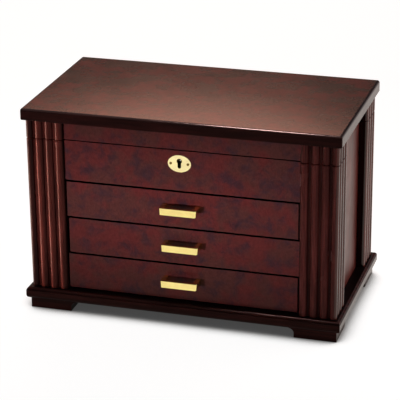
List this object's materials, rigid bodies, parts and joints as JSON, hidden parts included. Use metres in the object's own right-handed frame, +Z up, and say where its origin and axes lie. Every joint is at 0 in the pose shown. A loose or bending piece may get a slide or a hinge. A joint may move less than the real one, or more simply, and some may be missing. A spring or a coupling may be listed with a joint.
{
  "type": "locking jewellery box",
  "caption": "Locking jewellery box in dark burl veneer: hinged lid with mirror and lock, lined top compartment, lined drawers with brass pulls, reeded corner pillars.",
  "frame": {"origin": "under the middle of the box, on the surface that its feet stand on", "axes": "+Z up, +X to the right along the front, -Y towards the front with the drawers"},
  "size_m": [0.371, 0.2126, 0.2435],
  "materials": {
    "burl_veneer": "high gloss lacquer over dark red-brown burl veneer",
    "mahogany": "high gloss lacquer over dark red-brown stained wood",
    "inner_wood": "satin stained wood",
    "velvet": "short pile velvet",
    "mirror": "silvered glass",
    "brass": "polished, gold toned",
    "lock_metal": "brushed",
    "screw_steel": "zinc plated"
  },
  "bodies": {
    "root": {"base_board": "mahogany", "foot_front_left": "mahogany", "foot_front_right": "mahogany", "foot_rear_left": "mahogany", "foot_rear_right": "mahogany", "pillar_front_left": "mahogany", "pillar_front_right": "mahogany", "pillar_rear_left": "mahogany", "pillar_rear_right": "mahogany", "side_panel_left": "mahogany", "side_panel_right": "mahogany", "back_panel": "mahogany", "front_panel": "burl_veneer", "guide_walls": "inner_wood", "top_rails": "mahogany", "drawer_runners": "inner_wood", "compartment_floor": "inner_wood", "tray_lining": "velvet", "tray_dividers": "velvet", "ring_rolls": "velvet", "lock_case": "lock_metal", "escutcheon": "brass", "escutcheon_pins": "brass", "hinge_leaves_case": "brass", "hinge_screws_case": "brass", "hinge_pins": "brass"},
    "lid": {"lid_board": "burl_veneer", "lid_front_apron": "burl_veneer", "lid_rear_apron": "mahogany", "lid_side_aprons": "mahogany", "lid_pillar_front_left": "mahogany", "lid_pillar_front_right": "mahogany", "lid_pillar_rear_left": "mahogany", "lid_pillar_rear_right": "mahogany", "lid_mirror": "mirror", "lid_mirror_frame": "mahogany", "lid_link_plate": "lock_metal", "hinge_leaves_lid": "brass", "lid_screws": "brass"},
    "lock_bolt": {"lock_bolt": "lock_metal"},
    "drawer_1": {"drawer_1_front": "burl_veneer", "drawer_1_box": "inner_wood", "drawer_1_bottom": "inner_wood", "drawer_1_lining": "velvet", "drawer_1_pull": "brass", "drawer_1_pull_screws": "screw_steel", "drawer_1_dividers": "velvet"},
    "drawer_2": {"drawer_2_front": "burl_veneer", "drawer_2_box": "inner_wood", "drawer_2_bottom": "inner_wood", "drawer_2_lining": "velvet", "drawer_2_pull": "brass", "drawer_2_pull_screws": "screw_steel", "drawer_2_dividers": "velvet"},
    "drawer_3": {"drawer_3_front": "burl_veneer", "drawer_3_box": "inner_wood", "drawer_3_bottom": "inner_wood", "drawer_3_lining": "velvet", "drawer_3_pull": "brass", "drawer_3_pull_screws": "screw_steel"}
  },
  "joints": [
    {"name": "lid_hinge", "type": "hinge", "parent": "root", "child": "lid", "pos_m": [0, 0.10235, 0.20745], "axis": [-1, 0, 0], "range_deg": [0, 95]},
    {"name": "lock_bolt_slide", "type": "slide", "parent": "root", "child": "lock_bolt", "axis": [1, 0, 0], "range_m": [0, 0.005]},
    {"name": "drawer_1_slide", "type": "slide", "parent": "root", "child": "drawer_1", "axis": [0, -1, 0], "range_m": [0, 0.14]},
    {"name": "drawer_2_slide", "type": "slide", "parent": "root", "child": "drawer_2", "axis": [0, -1, 0], "range_m": [0, 0.14]},
    {"name": "drawer_3_slide", "type": "slide", "parent": "root", "child": "drawer_3", "axis": [0, -1, 0], "range_m": [0, 0.14]}
  ]
}
